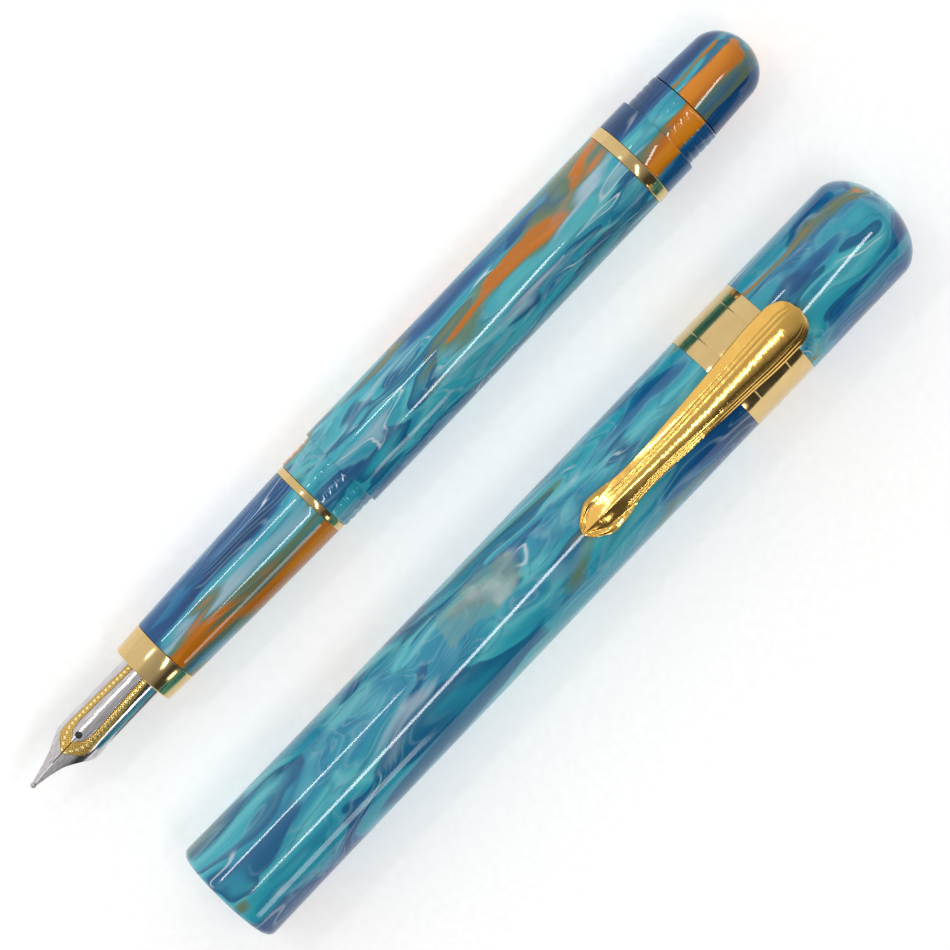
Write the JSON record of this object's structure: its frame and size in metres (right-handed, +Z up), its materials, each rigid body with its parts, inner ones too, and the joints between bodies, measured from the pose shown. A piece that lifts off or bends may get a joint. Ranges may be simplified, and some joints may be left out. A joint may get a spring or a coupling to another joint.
{
  "type": "fountain pen",
  "caption": "Piston-filling fountain pen in marbled resin with gilt rings, lying uncapped beside its long screw cap with a sprung tapered clip.",
  "frame": {"origin": "middle of the footprint of the pen and its cap, on the plane they lie on", "axes": "+X along the pen from nib to knob, +Y from the cap towards the pen, +Z up"},
  "size_m": [0.1308, 0.0408, 0.0187],
  "materials": {
    "marbled_resin": "polished",
    "gold_plate": "polished",
    "steel_nib": "polished",
    "hard_tipping": "polished",
    "black_plastic": "satin",
    "pale_plastic": "satin",
    "brass_screw": "turned",
    "seal_rubber": "matt",
    "spring_steel": "bright"
  },
  "bodies": {
    "barrel": {"barrel": "marbled_resin", "rear_ring": "gold_plate", "piston_stock": "marbled_resin", "rod_guide": "black_plastic"},
    "knob": {"piston_knob": "marbled_resin", "drive_spindle": "brass_screw"},
    "piston": {"piston_rod": "pale_plastic", "piston_head": "pale_plastic", "piston_seal_front": "seal_rubber", "piston_seal_rear": "seal_rubber"},
    "section_joint": {"section_ring": "gold_plate", "section_seal": "seal_rubber"},
    "section": {"grip_section": "marbled_resin", "nose_ring": "gold_plate", "nib_housing": "black_plastic"},
    "nib_unit": {"nib": "steel_nib", "nib_tipping": "hard_tipping", "feed": "black_plastic"},
    "cap": {"cap_tube": "marbled_resin", "thread_sleeve": "pale_plastic", "clip_band": "gold_plate", "crown": "marbled_resin", "inner_cap": "pale_plastic", "clip_bracket": "gold_plate", "clip_spring": "spring_steel"},
    "clip": {"clip": "gold_plate", "clip_pin": "spring_steel"}
  },
  "joints": [
    {"name": "knob_turn", "type": "hinge", "parent": "barrel", "child": "knob", "pos_m": [-0.06535, 0.01427, 0.00615], "axis": [-1, 0, 0], "range_deg": [0, 1441]},
    {"name": "piston_travel", "type": "slide", "parent": "barrel", "child": "piston", "axis": [1, 0, 0], "range_m": [0, 0.02]},
    {"name": "section_slide", "type": "slide", "parent": "barrel", "child": "section_joint", "axis": [-1, 0, 0], "range_m": [0, 0.011]},
    {"name": "section_turn", "type": "hinge", "parent": "section_joint", "child": "section", "pos_m": [-0.06535, 0.01427, 0.00615], "axis": [-1, 0, 0], "range_deg": [0, 3962]},
    {"name": "nib_pull", "type": "slide", "parent": "section", "child": "nib_unit", "axis": [-1, 0, 0], "range_m": [0, 0.0155]},
    {"name": "cap_swing", "type": "hinge", "parent": "barrel", "child": "cap", "pos_m": [-0.08335, 0.00077, 0.0077], "axis": [0, 0, -1], "range_deg": [0, 180]},
    {"name": "clip_press", "type": "hinge", "parent": "cap", "child": "clip", "pos_m": [0.0363, -0.01366, 0.0166], "axis": [0, 0.9945, 0.1045], "range_deg": [0, 5], "stiffness_Nm_per_rad": 0.3, "springref_deg": -2.86, "deforming": ["clip_spring"]}
  ],
  "couplings": [
    {"joint": "knob_turn", "follows": "piston_travel", "rad_per_m": 1256.6},
    {"joint": "section_turn", "follows": "section_slide", "rad_per_m": 6283.2}
  ]
}
